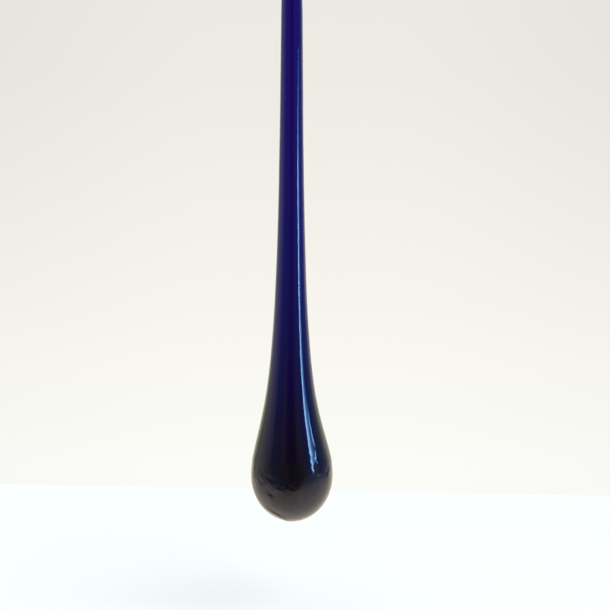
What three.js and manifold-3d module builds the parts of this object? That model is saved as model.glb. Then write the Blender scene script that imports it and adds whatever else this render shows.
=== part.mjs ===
// Hanging glass drop: one solid drop of dark cobalt glass with a long drawn neck
// that ends in an integral eye, hung from a closed steel ring, a barrel swivel
// and an S-hook.
//
// Millimetres, +Z up. The origin is the hang point: the inner top of the
// S-hook's upper bend, where the hook rests on whatever holds it. Everything
// else hangs below it on the Z axis. The S-hook and the glass eye lie in the XZ
// plane; the ring and the swivel's upper eye lie in the YZ plane.

import * as THREE from "three";
import { mergeVertices } from "three/addons/utils/BufferGeometryUtils.js";
import Module from "manifold-3d";

const wasm = await Module();
wasm.setup();

// ---------------------------------------------------------------- dimensions

const GAP = 0.3; // running gap left between two pieces that bear on each other

// S-hook, bent from round wire
const HOOK_WIRE_R = 1.3;
const HOOK_TOP_BEND_R = 8.3; // wire centreline, upper bend (14 mm inside)
const HOOK_LOW_BEND_R = 5.4; // wire centreline, lower bend (8.2 mm inside)
const HOOK_CENTRES = 23.6; // distance between the two bend centres
const HOOK_TOP_TIP_DEG = 196; // where the upper bend ends, from +X over the top
const HOOK_LOW_WRAP_DEG = 298; // how far the lower bend runs round

// Barrel swivel
const EYE_WIRE_R = 0.8;
const EYE_R = 3.6; // eye centreline radius (5.6 mm inside)
const SHANK_R = 0.8;
const HEAD_R = 1.75;
const HEAD_H = 1.2;
const BARREL_L = 10;
const BARREL_R = 2.8; // widest radius
const BARREL_END_R = 1.75; // radius of the swaged ends
const BARREL_WALL_END = 1.2; // length of the end wall the heads bear on
const BARREL_BORE_R = 2.1; // inner cavity
const BARREL_HOLE_R = 1.12; // hole the shank turns in
const EYE_TO_BARREL = 0.45; // gap between an eye and the barrel's end

// Hanging ring, closed and welded
const RING_WIRE_R = 1.0;
const RING_R = 7.6; // wire centreline radius

// Glass drop
const DROP_H = 300; // whole glass, bottom of the bulb to top of the eye
const EYE_STRAND_R = 2.75; // strand of the glass eye
const EYE_TORUS_R = 7.0; // eye strand centreline radius before stretching
const EYE_STRETCH = 1.1; // the eye is a little taller than wide
// Radius of the drop at heights above its lowest point.
const BULB_A = 20.56; // widest radius
const BULB_B = 23.2; // height of the widest place; below it the bulb is an ellipse
const SHOULDER = [
  [30.35, 20.04],
  [36.35, 18.79],
  [42.35, 17.26],
  [48.35, 15.73],
  [54.35, 14.33],
  [60.35, 13.12],
  [66.35, 12.1],
  [72.35, 11.27],
  [78.35, 10.57],
  [84.35, 9.98],
  [90.35, 9.51],
  [96.35, 9.06],
  [102.35, 8.68],
  [108.35, 8.33],
  [114.35, 8.05],
  [120.35, 7.79],
  [132.35, 7.35],
  [144.35, 7],
  [156.35, 6.7],
  [168.35, 6.45],
  [180.35, 6.27],
  [192.35, 6.08],
  [204.35, 5.94],
  [216.35, 5.83],
  [228.35, 5.72],
  [240.35, 5.62],
  [252.35, 5.52],
  [261, 5.38],
  [267, 5.14],
  [272, 4.72],
  [276, 4.2],
  [279, 3.62],
  [281.5, 3],
  [283, 2.3],
];

// ------------------------------------------------------------------- helpers

// A closed three.js geometry as a manifold-3d solid.
function solid(geometry) {
  const g = geometry.clone();
  for (const name of Object.keys(g.attributes))
    if (name !== "position") g.deleteAttribute(name);
  const merged = mergeVertices(g, 1e-3);
  const index = merged.index.array;
  const kept = [];
  for (let i = 0; i < index.length; i += 3) {
    const [a, b, c] = [index[i], index[i + 1], index[i + 2]];
    if (a !== b && b !== c && c !== a) kept.push(a, b, c);
  }
  return new wasm.Manifold(
    new wasm.Mesh({
      numProp: 3,
      vertProperties: merged.attributes.position.array,
      triVerts: new Uint32Array(kept),
    }),
  );
}

// A manifold-3d solid back as a three.js geometry.
function geometryOf(made) {
  const m = made.getMesh();
  const n = m.numProp;
  const v = new Float32Array(m.numVert * 3);
  for (let i = 0; i < m.numVert; i++)
    v.set(m.vertProperties.subarray(i * n, i * n + 3), i * 3);
  const g = new THREE.BufferGeometry();
  g.setAttribute("position", new THREE.BufferAttribute(v, 3));
  g.setIndex(new THREE.BufferAttribute(new Uint32Array(m.triVerts), 1));
  g.computeVertexNormals();
  return g;
}

// A body of revolution about +Z from [radius, z] pairs.
function turned(profile, segments) {
  const g = new THREE.LatheGeometry(
    profile.map(([r, z]) => new THREE.Vector2(r, z)),
    segments,
  );
  g.rotateX(Math.PI / 2);
  return g;
}

// A round wire along a curve, closed at both ends.
function wire(curve, radius, sides, steps) {
  const ring = [];
  for (let i = 0; i < sides; i++) {
    const a = (2 * Math.PI * i) / sides;
    ring.push(new THREE.Vector2(radius * Math.cos(a), radius * Math.sin(a)));
  }
  return new THREE.ExtrudeGeometry(new THREE.Shape(ring), {
    steps,
    extrudePath: curve,
    bevelEnabled: false,
  });
}

// The S-hook's centreline in the XZ plane: a round upper bend, a straight shank
// tangent to both bends, and a lower bend closed round until it nearly meets
// the shank.
class HookCurve extends THREE.Curve {
  constructor() {
    super();
    const up = -(HOOK_TOP_BEND_R - HOOK_WIRE_R); // z of the upper bend's centre
    const down = up - HOOK_CENTRES;
    const lean = Math.asin((HOOK_TOP_BEND_R + HOOK_LOW_BEND_R) / HOOK_CENTRES);
    this.centres = { up, down };
    // Tangent point on the upper bend, on its right and low side.
    const a1 = -(Math.PI / 2) + (Math.PI / 2 - lean);
    // Its opposite on the lower bend.
    const a2 = a1 + Math.PI;
    const tip = THREE.MathUtils.degToRad(HOOK_TOP_TIP_DEG);
    const wrap = THREE.MathUtils.degToRad(HOOK_LOW_WRAP_DEG);
    const at = (z, r, a) =>
      new THREE.Vector3(r * Math.cos(a), 0, z + r * Math.sin(a));
    const p1 = at(up, HOOK_TOP_BEND_R, a1);
    const p2 = at(down, HOOK_LOW_BEND_R, a2);
    const l1 = HOOK_TOP_BEND_R * (tip - a1);
    const l2 = p1.distanceTo(p2);
    const l3 = HOOK_LOW_BEND_R * wrap;
    this.total = l1 + l2 + l3;
    this.at = (s) => {
      if (s <= l1) return at(up, HOOK_TOP_BEND_R, tip - s / HOOK_TOP_BEND_R);
      if (s <= l1 + l2) return p1.clone().lerp(p2, (s - l1) / l2);
      return at(
        down,
        HOOK_LOW_BEND_R,
        a2 + Math.min(s - l1 - l2, l3) / HOOK_LOW_BEND_R,
      );
    };
  }
  getPoint(t, target = new THREE.Vector3()) {
    return target.copy(this.at(t * this.total));
  }
}

// Smooth radius between the tabled heights (monotone cubic).
function radiusTable(table) {
  const n = table.length;
  const h = table.map((p) => p[0]);
  const r = table.map((p) => p[1]);
  const d = [];
  for (let i = 0; i < n - 1; i++) d.push((r[i + 1] - r[i]) / (h[i + 1] - h[i]));
  const m = [d[0]];
  for (let i = 1; i < n - 1; i++)
    m.push(d[i - 1] * d[i] <= 0 ? 0 : (2 * d[i - 1] * d[i]) / (d[i - 1] + d[i]));
  m.push(d[n - 2]);
  return (x) => {
    let i = 0;
    while (i < n - 2 && x > h[i + 1]) i++;
    const w = h[i + 1] - h[i];
    const t = (x - h[i]) / w;
    const t2 = t * t;
    const t3 = t2 * t;
    return (
      (2 * t3 - 3 * t2 + 1) * r[i] +
      (t3 - 2 * t2 + t) * w * m[i] +
      (-2 * t3 + 3 * t2) * r[i + 1] +
      (t3 - t2) * w * m[i + 1]
    );
  };
}

const steel = (color) =>
  new THREE.MeshStandardMaterial({ color, roughness: 0.28, metalness: 1.0 });

function mesh(name, geometry, material) {
  const m = new THREE.Mesh(geometry, material);
  m.name = name;
  return m;
}

// ---------------------------------------------------------------- placements

const hookCurve = new HookCurve();
const hookLowWireZ = hookCurve.centres.down - HOOK_LOW_BEND_R; // wire centre at the hook's foot
const upperEyeZ = hookLowWireZ + HOOK_WIRE_R + GAP + EYE_WIRE_R - EYE_R; // eye centre
const barrelTopZ = upperEyeZ - EYE_R - EYE_WIRE_R - EYE_TO_BARREL;
const barrelFootZ = barrelTopZ - BARREL_L;
const lowerEyeZ = barrelFootZ - EYE_TO_BARREL - EYE_WIRE_R - EYE_R;
const lowerEyeFootZ = lowerEyeZ - EYE_R; // wire centre at the lower eye's foot
const ringTopZ = lowerEyeFootZ + EYE_WIRE_R + GAP + RING_WIRE_R; // wire centre
const ringZ = ringTopZ - RING_R;
const ringFootZ = ringZ - RING_R; // wire centre at the ring's foot
const eyeHoleTopZ = ringFootZ + RING_WIRE_R + GAP; // top of the hole in the glass
const glassEyeZ = eyeHoleTopZ - (EYE_TORUS_R - EYE_STRAND_R) * EYE_STRETCH;
const glassTopZ = glassEyeZ + (EYE_TORUS_R + EYE_STRAND_R) * EYE_STRETCH;
const glassFootZ = glassTopZ - DROP_H;

// --------------------------------------------------------------------- parts

const group = new THREE.Group();

// S-hook
group.add(mesh("s_hook", wire(hookCurve, HOOK_WIRE_R, 12, 60), steel(0xc9ccd0)));

// A swivel eye: a wire eye, its shank through the barrel's end, and the upset
// head that the barrel turns on. dir is +1 for the upper eye, -1 for the lower.
function swivelEye(centreZ, barrelEndZ, dir, turn) {
  const eye = new THREE.TorusGeometry(EYE_R, EYE_WIRE_R, 8, 28);
  eye.rotateX(Math.PI / 2); // into the XZ plane
  eye.rotateZ(turn);
  eye.translate(0, 0, centreZ);
  const start = centreZ - dir * (EYE_R - 0.2); // inside the eye's own wire
  const under = barrelEndZ - dir * (BARREL_WALL_END + GAP); // head's bearing face
  const end = under - dir * HEAD_H;
  const profile = [
    [0, start],
    [SHANK_R * 0.8, start],
    [SHANK_R, start - dir * 0.5],
    [SHANK_R, under],
    [HEAD_R - 0.15, under],
    [HEAD_R, under - dir * 0.15],
    [HEAD_R, end + dir * 0.35],
    [HEAD_R - 0.35, end],
    [0, end],
  ];
  const pin = turned(dir > 0 ? profile.reverse() : profile, 16);
  return geometryOf(solid(eye).add(solid(pin)));
}
group.add(
  mesh(
    "swivel_upper_eye",
    swivelEye(upperEyeZ, barrelTopZ, 1, Math.PI / 2),
    steel(0xc4c7cb),
  ),
);
group.add(
  mesh(
    "swivel_lower_eye",
    swivelEye(lowerEyeZ, barrelFootZ, -1, 0),
    steel(0xc4c7cb),
  ),
);

// Swivel barrel: a thin shell swaged in at both ends, open where the shanks
// pass through.
{
  const t = barrelTopZ;
  const f = barrelFootZ;
  const outer = [
    [BARREL_HOLE_R, f],
    [BARREL_END_R, f],
    [BARREL_END_R + 0.35, f + 0.5],
    [BARREL_R - 0.18, f + 1.7],
    [BARREL_R, f + 2.4],
    [BARREL_R, t - 2.4],
    [BARREL_R - 0.18, t - 1.7],
    [BARREL_END_R + 0.35, t - 0.5],
    [BARREL_END_R, t],
    [BARREL_HOLE_R, t],
  ];
  const inner = [
    [BARREL_HOLE_R, t - BARREL_WALL_END],
    [BARREL_BORE_R, t - BARREL_WALL_END],
    [BARREL_BORE_R, f + BARREL_WALL_END],
    [BARREL_HOLE_R, f + BARREL_WALL_END],
    [BARREL_HOLE_R, f],
  ];
  group.add(
    mesh("swivel_barrel", turned([...outer, ...inner], 24), steel(0xd2d4d6)),
  );
}

// Hanging ring, in the YZ plane
{
  const ring = new THREE.TorusGeometry(RING_R, RING_WIRE_R, 10, 36);
  ring.rotateY(Math.PI / 2);
  const m = mesh("hanging_ring", ring, steel(0xc9ccd0));
  m.position.set(0, 0, ringZ);
  group.add(m);
}

// Glass drop: bulb, shoulder and drawn neck turned as one profile, joined to
// the eye at the neck's end.
{
  const radius = radiusTable([[BULB_B, BULB_A], ...SHOULDER]);
  const profile = [[0, glassFootZ]];
  for (let i = 1; i <= 11; i++) {
    const a = (Math.PI / 2) * (i / 11);
    profile.push([
      BULB_A * Math.sin(a),
      glassFootZ + BULB_B * (1 - Math.cos(a)),
    ]);
  }
  const heights = [];
  for (let h = BULB_B + 4; h < 60; h += 4) heights.push(h);
  for (let h = 62; h < 110; h += 6) heights.push(h);
  for (let h = 112; h < 256; h += 12) heights.push(h);
  for (const h of [261, 267, 272, 276, 279, 281.5, 283]) heights.push(h);
  for (const h of heights) profile.push([radius(h), glassFootZ + h]);
  profile.push([0, glassFootZ + 283.4]);
  const body = turned(profile, 32);

  const eye = new THREE.TorusGeometry(EYE_TORUS_R, EYE_STRAND_R, 12, 30);
  eye.rotateX(Math.PI / 2);
  eye.scale(1, 1, EYE_STRETCH);
  eye.translate(0, 0, glassEyeZ);

  group.add(
    mesh(
      "glass_drop",
      geometryOf(solid(body).add(solid(eye))),
      new THREE.MeshStandardMaterial({
        color: 0x14094f,
        roughness: 0.03,
        metalness: 0.0,
      }),
    ),
  );
}

export default group;
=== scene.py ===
import math

import bmesh
import bpy
import numpy as np
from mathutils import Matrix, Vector, noise


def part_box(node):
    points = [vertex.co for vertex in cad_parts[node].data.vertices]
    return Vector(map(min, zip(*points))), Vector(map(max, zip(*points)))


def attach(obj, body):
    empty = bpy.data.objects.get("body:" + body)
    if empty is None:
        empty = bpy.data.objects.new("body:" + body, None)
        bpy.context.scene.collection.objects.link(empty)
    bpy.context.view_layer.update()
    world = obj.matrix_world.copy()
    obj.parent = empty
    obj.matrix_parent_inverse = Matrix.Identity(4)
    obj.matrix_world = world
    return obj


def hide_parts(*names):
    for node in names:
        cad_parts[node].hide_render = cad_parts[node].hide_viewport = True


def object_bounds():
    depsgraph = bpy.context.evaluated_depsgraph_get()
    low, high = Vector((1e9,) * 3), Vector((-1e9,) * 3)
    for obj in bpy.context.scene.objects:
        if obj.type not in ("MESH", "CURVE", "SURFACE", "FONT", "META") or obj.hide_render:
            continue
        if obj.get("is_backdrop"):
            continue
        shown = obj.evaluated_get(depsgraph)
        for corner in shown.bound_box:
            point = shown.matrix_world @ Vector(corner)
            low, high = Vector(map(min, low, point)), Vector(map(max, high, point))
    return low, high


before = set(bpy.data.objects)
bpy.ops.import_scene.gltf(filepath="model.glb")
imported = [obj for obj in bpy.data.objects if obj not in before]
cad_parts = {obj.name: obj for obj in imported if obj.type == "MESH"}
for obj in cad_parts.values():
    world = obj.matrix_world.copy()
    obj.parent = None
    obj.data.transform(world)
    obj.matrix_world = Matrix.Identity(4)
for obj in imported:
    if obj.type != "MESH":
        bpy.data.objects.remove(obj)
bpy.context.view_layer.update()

MM = 0.001
TAU = 2 * math.pi

# ------------------------------------------------------------------ places
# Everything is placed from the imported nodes' own boxes, in millimetres.


def z_of(node, top):
    lo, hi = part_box(node)
    return (hi.z if top else lo.z) / MM


FOOT = z_of("glass_drop", False)  # lowest point of the glass
GLASS_H = 300.0
EYE_C = FOOT + GLASS_H - 10.725  # centre of the glass eye
HOOK_UP = z_of("s_hook", True) - 9.6  # centre of the S-hook's upper bend
UPPER_EYE = z_of("swivel_upper_eye", True) - 4.4
LOWER_EYE = z_of("swivel_lower_eye", False) + 4.4
BARREL_TOP = z_of("swivel_barrel", True)
BARREL_FOOT = z_of("swivel_barrel", False)
RING_C = (z_of("hanging_ring", True) + z_of("hanging_ring", False)) / 2

# ------------------------------------------------------------------ camera
# 610 px across 305 mm at the drop's axis, level, bulb a little left of centre.
CAM_D = 0.55
cam_data = bpy.data.cameras.new("camera")
cam_data.sensor_width = 36.0
cam_data.lens = 36.0 * 1100.0 / 610.0
cam_data.clip_start = 0.01
cam_data.clip_end = 60
camera = bpy.data.objects.new("camera", cam_data)
camera.location = (6.52 * MM, -CAM_D, (FOOT + 108.0) * MM)
camera.rotation_euler = (math.radians(90), 0, 0)
bpy.context.scene.collection.objects.link(camera)
bpy.context.scene.camera = camera


# ------------------------------------------------------------------ mesh help
def new_object(name, verts, faces, smooth=True, scale=MM):
    mesh = bpy.data.meshes.new(name)
    mesh.from_pydata(
        (np.asarray(verts, float) * scale).tolist(), [], [list(f) for f in faces]
    )
    mesh.validate()
    mesh.update()
    obj = bpy.data.objects.new(name, mesh)
    bpy.context.scene.collection.objects.link(obj)
    if smooth:
        mesh.polygons.foreach_set("use_smooth", [True] * len(mesh.polygons))
    return obj


def face_out(obj):
    bm = bmesh.new()
    bm.from_mesh(obj.data)
    bmesh.ops.recalc_face_normals(bm, faces=bm.faces)
    if bm.calc_volume(signed=True) < 0:
        bmesh.ops.reverse_faces(bm, faces=bm.faces)
    bm.to_mesh(obj.data)
    bm.free()
    obj.data.update()
    return obj


def put_vectors(obj, name, values):
    """Keeps one vector for each vertex as a named attribute for the materials."""
    a = obj.data.attributes.new(name, "FLOAT_VECTOR", "POINT")
    a.data.foreach_set("vector", np.asarray(values, np.float32).ravel())


def smoothstep(a, b, x):
    t = np.clip((np.asarray(x, float) - a) / (b - a), 0, 1)
    return t * t * (3 - 2 * t)


def sweep(name, points, normals, radii, closed=False):
    """A tube along points. normals is one unit vector across the path for each
    point, radii is (points, sides). Open tubes are capped."""
    points, normals, radii = (np.asarray(v, float) for v in (points, normals, radii))
    n, sides = radii.shape
    if closed:
        tangents = np.roll(points, -1, 0) - np.roll(points, 1, 0)
    else:
        tangents = np.gradient(points, axis=0)
    tangents /= np.linalg.norm(tangents, axis=1, keepdims=True)
    across = np.cross(tangents, normals)
    across /= np.linalg.norm(across, axis=1, keepdims=True)
    steps = np.diff(points, axis=0, append=points[:1] if closed else points[-1:])
    along = np.concatenate([[0], np.cumsum(np.linalg.norm(steps, axis=1))[:-1]])
    angle = TAU * np.arange(sides) / sides
    ring = (
        normals[:, None, :] * np.cos(angle)[None, :, None]
        + across[:, None, :] * np.sin(angle)[None, :, None]
    )
    verts = points[:, None, :] + ring * radii[:, :, None]
    verts = verts.reshape(-1, 3)
    draw = np.stack(
        np.broadcast_arrays(
            np.cos(angle)[None, :], np.sin(angle)[None, :], along[:, None]
        ),
        -1,
    ).reshape(-1, 3)
    faces = []
    last = n if closed else n - 1
    for i in range(last):
        j = (i + 1) % n
        for k in range(sides):
            m = (k + 1) % sides
            faces.append((i * sides + k, i * sides + m, j * sides + m, j * sides + k))
    if not closed:
        verts = np.vstack([verts, points[0], points[-1]])
        draw = np.vstack([draw, [0, 0, along[0]], [0, 0, along[-1]]])
        a, b = n * sides, n * sides + 1
        for k in range(sides):
            m = (k + 1) % sides
            faces.append((a, m, k))
            faces.append((b, (n - 1) * sides + k, (n - 1) * sides + m))
    obj = new_object(name, verts, faces)
    put_vectors(obj, "draw", draw)
    return face_out(obj)


def turned(name, profile, segments, closed=False):
    """A body of revolution about Z from (radius, z) pairs, which start and end on
    the axis, or close on themselves."""
    profile = np.asarray(profile, float)
    verts, rows = [], []
    for r, z in profile:
        if r < 1e-6:
            rows.append([len(verts)] * segments)
            verts.append((0, 0, z))
        else:
            rows.append(list(range(len(verts), len(verts) + segments)))
            for k in range(segments):
                a = TAU * k / segments
                verts.append((r * math.cos(a), r * math.sin(a), z))
    faces = []
    count = len(rows)
    for i in range(count if closed else count - 1):
        j = (i + 1) % count
        for k in range(segments):
            m = (k + 1) % segments
            quad = [rows[i][k], rows[i][m], rows[j][m], rows[j][k]]
            face = []
            for v in quad:
                if v not in face:
                    face.append(v)
            if len(face) > 2:
                faces.append(face)
    obj = new_object(name, verts, faces)
    v = np.array([p.co for p in obj.data.vertices]) / MM
    put_vectors(obj, "draw", v)
    return face_out(obj)


def subdivided(verts, faces, levels):
    """The Catmull-Clark surface of a cage, as arrays."""
    cage = new_object("cage", verts, faces, scale=1.0)
    mod = cage.modifiers.new("s", "SUBSURF")
    mod.levels = mod.render_levels = levels
    mod.use_limit_surface = True
    dg = bpy.context.evaluated_depsgraph_get()
    mesh = bpy.data.meshes.new_from_object(cage.evaluated_get(dg), depsgraph=dg)
    v = np.zeros(len(mesh.vertices) * 3)
    mesh.vertices.foreach_get("co", v)
    f = [tuple(p.vertices) for p in mesh.polygons]
    bpy.data.objects.remove(cage)
    bpy.data.meshes.remove(mesh)
    return v.reshape(-1, 3), f


HEX = 1 / 0.83333  # a six-sided cage shrinks by this when it is subdivided
OCT = 1 / 0.90237  # and an eight-sided one by this


def eye_cage(stem, crotch, stations, cap):
    """A stem that splits into the two legs of a loop in the XZ plane.
    stem: (z, half width in X, half width in Y) rings from far end to the split.
    stations: (x, z, outward nx, nz, radius in the plane, radius in Y) from the
    right leg over the top to the left one."""
    verts, faces = [], []
    rings = []
    for z, rx, ry in stem:
        row = []
        for k in range(8):
            a = TAU * k / 8
            row.append(len(verts))
            verts.append((rx * OCT * math.cos(a), ry * OCT * math.sin(a), z))
        rings.append(row)
    for a, b in zip(rings, rings[1:]):
        for k in range(8):
            m = (k + 1) % 8
            faces.append((a[k], a[m], b[m], b[k]))
    if cap:
        faces.append(tuple(reversed(rings[0])))
    v = rings[-1]
    c = len(verts)
    verts.append((0, 0, crotch))
    first = [v[0], v[1], v[2], c, v[6], v[7]]
    last = [v[4], v[3], v[2], c, v[6], v[5]]
    loop = [first]
    for x, z, nx, nz, rp, ry in stations:
        row = []
        for k in range(6):
            a = TAU * k / 6
            row.append(len(verts))
            verts.append(
                (
                    x + nx * rp * HEX * math.cos(a),
                    ry * HEX * math.sin(a),
                    z + nz * rp * HEX * math.cos(a),
                )
            )
        loop.append(row)
    loop.append(last)
    for a, b in zip(loop, loop[1:]):
        for k in range(6):
            m = (k + 1) % 6
            faces.append((a[k], a[m], b[m], b[k]))
    return verts, faces


# ------------------------------------------------------------------ glass drop
BULB_A, BULB_B = 20.56, 23.2
SHOULDER = [
    (BULB_B, BULB_A), (30.35, 20.04), (36.35, 18.79), (42.35, 17.26),
    (48.35, 15.73), (54.35, 14.33), (60.35, 13.12), (66.35, 12.1),
    (72.35, 11.27), (78.35, 10.57), (84.35, 9.98), (90.35, 9.51),
    (96.35, 9.06), (102.35, 8.68), (108.35, 8.33), (114.35, 8.05),
    (120.35, 7.79), (132.35, 7.35), (144.35, 7.0), (156.35, 6.7),
    (168.35, 6.45), (180.35, 6.27), (192.35, 6.08), (204.35, 5.94),
    (216.35, 5.83), (228.35, 5.72), (240.35, 5.62), (252.35, 5.52),
    (261.0, 5.38), (267.0, 5.14), (272.0, 4.72), (276.0, 4.2),
    (279.0, 3.62), (281.5, 3.0), (283.0, 2.3),
]  # fmt: skip
_H = np.array([p[0] for p in SHOULDER])
_R = np.array([p[1] for p in SHOULDER])
_D = np.diff(_R) / np.diff(_H)
_M = np.zeros(len(_H))
_M[0], _M[-1] = 0.0, _D[-1]
for i in range(1, len(_H) - 1):
    _M[i] = 0 if _D[i - 1] * _D[i] <= 0 else 2 * _D[i - 1] * _D[i] / (_D[i - 1] + _D[i])


def radius_at(h):
    """Radius of the glass at a height above its lowest point."""
    h = np.asarray(h, float)
    low = BULB_A * np.sqrt(np.clip(1 - ((BULB_B - h) / BULB_B) ** 2, 0, 1))
    i = np.clip(np.searchsorted(_H, h, side="right") - 1, 0, len(_H) - 2)
    w = _H[i + 1] - _H[i]
    t = np.clip((h - _H[i]) / w, 0, 1)
    high = (
        (2 * t**3 - 3 * t**2 + 1) * _R[i]
        + (t**3 - 2 * t**2 + t) * w * _M[i]
        + (-2 * t**3 + 3 * t**2) * _R[i + 1]
        + (t**3 - t**2) * w * _M[i + 1]
    )
    return np.where(h <= BULB_B, low, high)


# How far the hand-drawn neck wanders from the plumb line, in X.
DRIFT_H = np.array([0, 33, 41, 53, 65, 83, 119, 137, 160, 197, 221, 250, 270, 300.0])
DRIFT_X = np.array(
    [0, 0, -0.22, -0.5, -0.62, -0.62, -0.5, -0.38, -0.28, -0.22, -0.1, -0.03, 0, 0]
)


def drift(h):
    grid = np.linspace(0, 300, 601)
    raw = np.interp(grid, DRIFT_H, DRIFT_X)
    kernel = np.hanning(33)
    kernel /= kernel.sum()
    soft = np.convolve(np.pad(raw, 16, mode="edge"), kernel, mode="valid")
    return np.interp(h, grid, soft)


def wander(x, y, h, seed, scale):
    return noise.noise(Vector((x * scale + seed, y * scale - seed, h * scale)))


def make_drop():
    join_h = 262.0
    stem = [
        (h, float(radius_at(h)), float(radius_at(h)))
        for h in (join_h, 265.0, 268.5, 272.0)
    ]
    stem += [(275.4, 4.75, 3.8), (278.6, 5.1, 3.15)]
    c = EYE_C - FOOT  # eye centre above the foot
    stations = []
    grow = 1 / 0.9757
    for t in range(-44, 225, 22):
        a = math.radians(t)
        x, z = 7.0 * math.cos(a), 7.7 * math.sin(a)
        n = Vector((math.cos(a) / 7.0, 0, math.sin(a) / 7.7)).normalized()
        low = 0.5 - 0.5 * math.sin(a)  # 1 at the foot of the loop, 0 at its top
        rp = 2.72 + 0.22 * low**2
        ry = 2.68 + 0.12 * low
        if t > 190:  # where the strand's end was pressed back on the neck
            rp *= 1.1
            ry *= 1.12
        stations.append((x * grow, c + z * grow, n.x, n.z, rp, ry))
    cage_v, cage_f = eye_cage(stem, c - 4.1, stations, cap=False)
    v, f = subdivided(cage_v, cage_f, 4)
    # The neck under the split takes its exact turned radius.
    r = np.hypot(v[:, 0], v[:, 1])
    keep = 1 - smoothstep(267.0, 277.0, v[:, 2])
    want = radius_at(v[:, 2])
    scale = np.where(v[:, 2] < 279, 1 + keep * (want / np.maximum(r, 1e-6) - 1), 1)
    v[:, 0] *= scale
    v[:, 1] *= scale
    edge = np.where(v[:, 2] < join_h + 1e-4)[0]
    angles = np.arctan2(v[edge, 1], v[edge, 0]) % TAU
    order = np.argsort(angles)
    edge, angles = edge[order], angles[order]
    v[edge, 2] = join_h
    sides = len(edge)
    heights = [BULB_B * (1 - math.cos(a)) for a in np.linspace(0, math.pi / 2, 44)[1:]]
    heights += list(np.arange(BULB_B + 1.0, 110, 1.0))
    heights += list(np.arange(111.5, join_h - 0.6, 1.75))
    verts = [(0.0, 0.0, 0.0)]
    rows = []
    for h in heights:
        rr = float(radius_at(h))
        rows.append(list(range(len(verts), len(verts) + sides)))
        verts += [(rr * math.cos(a), rr * math.sin(a), h) for a in angles]
    base = len(verts)
    verts = np.vstack([np.array(verts), v])
    rows.append([base + int(e) for e in edge])
    faces = [(0, rows[0][(k + 1) % sides], rows[0][k]) for k in range(sides)]
    for a, b in zip(rows, rows[1:]):
        for k in range(sides):
            m = (k + 1) % sides
            faces.append((a[k], a[m], b[m], b[k]))
    faces += [tuple(base + i for i in face) for face in f]
    # Hand-drawn glass: long soft ripples, and finer ones on the shoulder where
    # the drop last flowed.
    h = verts[:, 2]
    r = np.hypot(verts[:, 0], verts[:, 1])
    out = verts[:, :2] / np.maximum(r, 1e-6)[:, None]
    body = 1 - smoothstep(268, 280, h)
    ripple = np.zeros(len(verts))
    for i, (x, y, z) in enumerate(verts):
        if body[i] <= 0 or r[i] < 1e-6:
            continue
        ox, oy = out[i]
        slow = noise.noise(Vector((ox * 0.9 + 7.1, oy * 0.9 - 3.3, z * 0.035)))
        fine = noise.noise(Vector((ox * 2.6 - 1.7, oy * 2.6 + 5.2, z * 0.16)))
        ripple[i] = 0.05 * slow * min(1.0, r[i] / 8) + 0.018 * fine * min(
            1.0, r[i] / 12
        ) * float(smoothstep(12, 30, z))
    fade = np.minimum(r / 3.0, 1.0) * body
    verts[:, 0] += out[:, 0] * (ripple - 0.04) * fade
    verts[:, 1] += out[:, 1] * (ripple - 0.04) * fade
    verts[:, 0] += drift(h)
    # Small bubbles trapped in the glass: closed hollows, so their walls face in.
    rng = np.random.default_rng(11)
    ball = bmesh.new()
    bmesh.ops.create_icosphere(ball, subdivisions=2, radius=1.0)
    ball_v = np.array([p.co for p in ball.verts])
    ball_f = [tuple(p.index for p in q.verts) for q in ball.faces]
    ball.free()
    all_v, all_f = [verts], list(faces)
    count = len(verts)
    seeds = [(117.0, 2.6, -95), (114.0, 5.4, -72), (71.0, 7.4, -118), (68.5, 8.1, -105),
             (66.4, 6.2, -82), (90.0, 7.1, -55), (88.0, 4.0, -30)]  # fmt: skip
    for _ in range(34):
        hh = float(rng.uniform(30, 255))
        seeds.append(
            (hh, float(rng.uniform(0.2, 0.86) * (radius_at(hh) - 0.7)), float(rng.uniform(0, 360)))
        )
    for hh, rad, deg in seeds:
        size = float(rng.uniform(0.09, 0.22))
        a = math.radians(deg)
        p = np.array([rad * math.cos(a) + float(drift(hh)), rad * math.sin(a), hh])
        shape = ball_v * size * np.array([1, 1, rng.uniform(1.2, 2.6)])
        all_v.append(shape + p)
        all_f += [tuple(count + q for q in reversed(face)) for face in ball_f]
        count += len(ball_v)
    verts = np.vstack(all_v)
    verts[:, 2] += FOOT
    obj = new_object("drop_glass", verts, all_f)
    return obj


# ------------------------------------------------------------------ hardware
def hook_centreline():
    up, down = HOOK_UP, HOOK_UP - 23.6
    r1, r2 = 8.3, 5.4
    lean = math.asin((r1 + r2) / 23.6)
    a1, a2 = -lean, -lean + math.pi
    tip, wrap = math.radians(196), math.radians(298)

    def at(z, r, a):
        return np.array([r * math.cos(a), 0, z + r * math.sin(a)])

    pts = [at(up, r1, a) for a in np.linspace(tip, a1, 150)]
    p1, p2 = at(up, r1, a1), at(down, r2, a2)
    pts += [p1 + (p2 - p1) * t for t in np.linspace(0, 1, 40)[1:-1]]
    pts += [at(down, r2, a2 + s) for s in np.linspace(0, wrap, 170)]
    return np.array(pts)


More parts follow.
